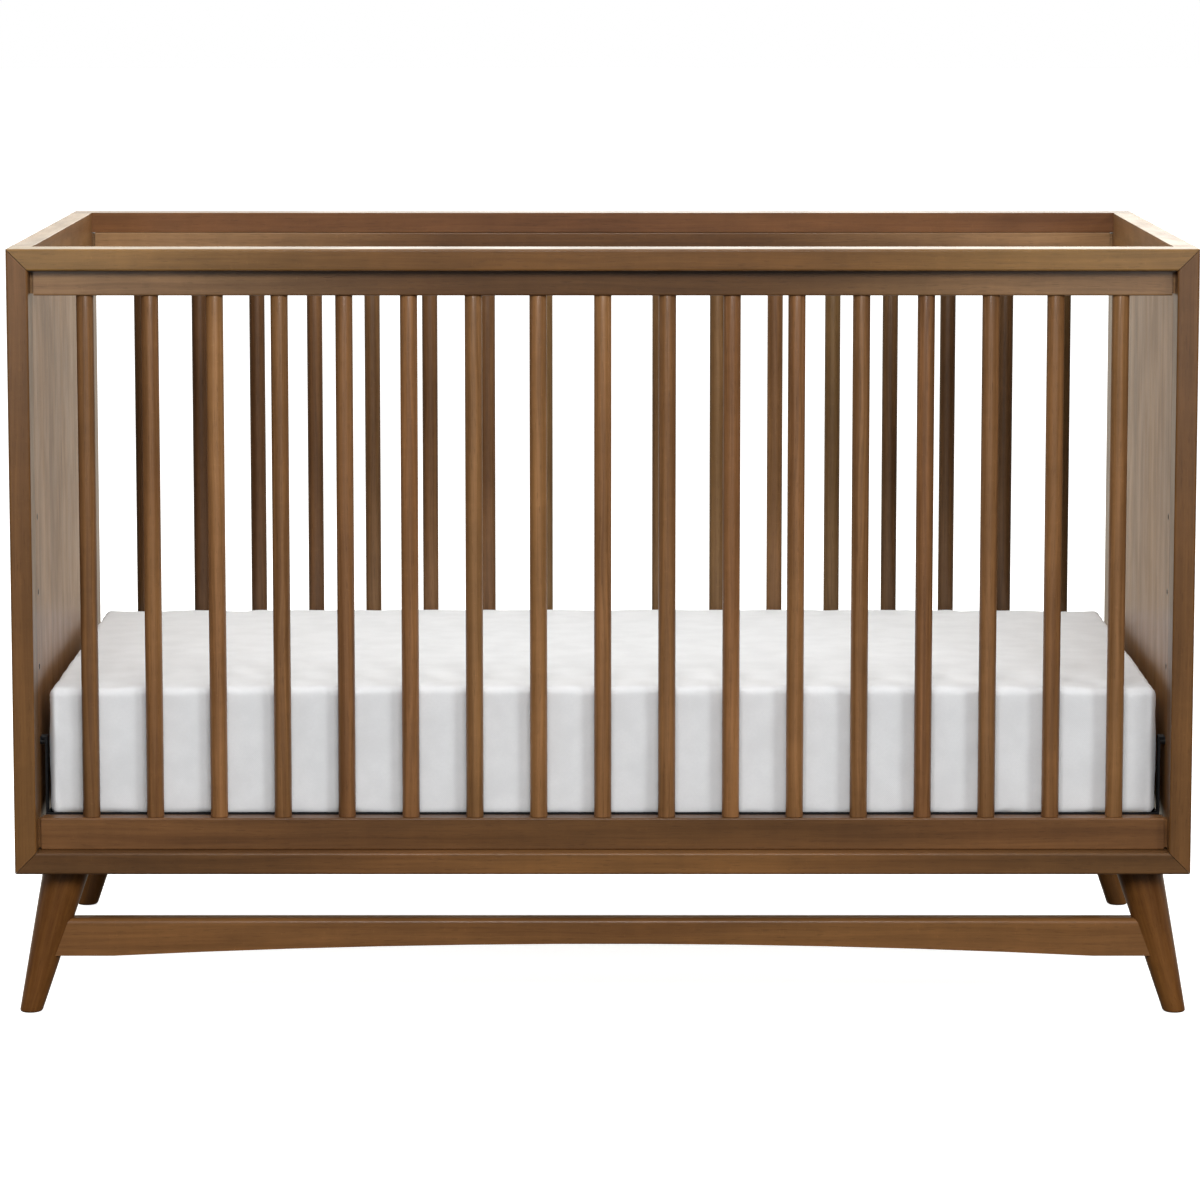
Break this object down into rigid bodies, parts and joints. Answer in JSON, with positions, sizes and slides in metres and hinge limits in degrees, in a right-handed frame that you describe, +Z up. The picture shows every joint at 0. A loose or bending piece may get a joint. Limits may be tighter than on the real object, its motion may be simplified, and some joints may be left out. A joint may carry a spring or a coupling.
{
  "type": "baby crib",
  "caption": "Mid-century baby crib: mitred wooden frames, recessed gates of round spindles, panelled ends, splayed legs and stretchers, height-adjustable mattress support.",
  "frame": {"origin": "on the floor, under the middle of the crib", "axes": "+X along the crib to the right as seen from the front, +Y from the front face to the rear face, +Z up"},
  "size_m": [1.391, 0.794, 0.914],
  "materials": {
    "frame_wood": "walnut stain under satin lacquer, on the mitred frame boards",
    "gate_wood": "walnut stain under satin lacquer, on the gate rails",
    "spindle_wood": "walnut stain under satin lacquer, on turned spindles",
    "end_wood": "walnut stain under satin lacquer, on the end stiles, rails and veneered panels",
    "leg_wood": "walnut stain under satin lacquer, on turned legs and stretchers",
    "block_wood": "stained hidden corner blocks",
    "slat_wood": "plain light slats, sanded",
    "black_steel": "black powder coat",
    "black_oxide_steel": "black oxide gate bolts, hanger studs and inserts",
    "zinc_steel": "zinc plated fasteners",
    "mattress_cover": "smooth white knitted cover over foam"
  },
  "bodies": {
    "crib": {"corner_blocks": "block_wood", "front_bottom_board": "frame_wood", "front_gate_bottom_rail": "gate_wood", "front_gate_top_rail": "gate_wood", "front_left_leg": "leg_wood", "front_left_post": "frame_wood", "front_right_leg": "leg_wood", "front_right_post": "frame_wood", "front_spindle_01": "spindle_wood", "front_spindle_02": "spindle_wood", "front_spindle_03": "spindle_wood", "front_spindle_04": "spindle_wood", "front_spindle_05": "spindle_wood", "front_spindle_06": "spindle_wood", "front_spindle_07": "spindle_wood", "front_spindle_08": "spindle_wood", "front_spindle_09": "spindle_wood", "front_spindle_10": "spindle_wood", "front_spindle_11": "spindle_wood", "front_spindle_12": "spindle_wood", "front_spindle_13": "spindle_wood", "front_spindle_14": "spindle_wood", "front_spindle_15": "spindle_wood", "front_spindle_16": "spindle_wood", "front_spindle_17": "spindle_wood", "front_stretcher": "leg_wood", "front_top_board": "frame_wood", "gate_barrel_nuts": "zinc_steel", "gate_bolts": "black_oxide_steel", "hanger_inserts": "black_oxide_steel", "hanger_studs": "black_oxide_steel", "left_end_bottom_rail": "end_wood", "left_end_front_stile": "end_wood", "left_end_panel": "end_wood", "left_end_rear_stile": "end_wood", "left_end_top_rail": "end_wood", "leg_nuts": "zinc_steel", "leg_studs": "zinc_steel", "rear_bottom_board": "frame_wood", "rear_gate_bottom_rail": "gate_wood", "rear_gate_top_rail": "gate_wood", "rear_left_leg": "leg_wood", "rear_left_post": "frame_wood", "rear_right_leg": "leg_wood", "rear_right_post": "frame_wood", "rear_spindles": "spindle_wood", "rear_stretcher": "leg_wood", "rear_top_board": "frame_wood", "right_end_bottom_rail": "end_wood", "right_end_front_stile": "end_wood", "right_end_panel": "end_wood", "right_end_rear_stile": "end_wood", "right_end_top_rail": "end_wood"},
    "mattress_support": {"support_frame": "black_steel", "support_slats": "slat_wood", "slat_rivets": "zinc_steel", "hanger_hooks": "black_steel"},
    "mattress": {"mattress": "mattress_cover"}
  },
  "joints": [
    {"name": "support_height", "type": "slide", "parent": "crib", "child": "mattress_support", "axis": [0, 0, 1], "range_m": [0, 0.267]},
    {"name": "mattress_lift", "type": "slide", "parent": "mattress_support", "child": "mattress", "axis": [0, 0, 1], "range_m": [0, 0.7]}
  ]
}
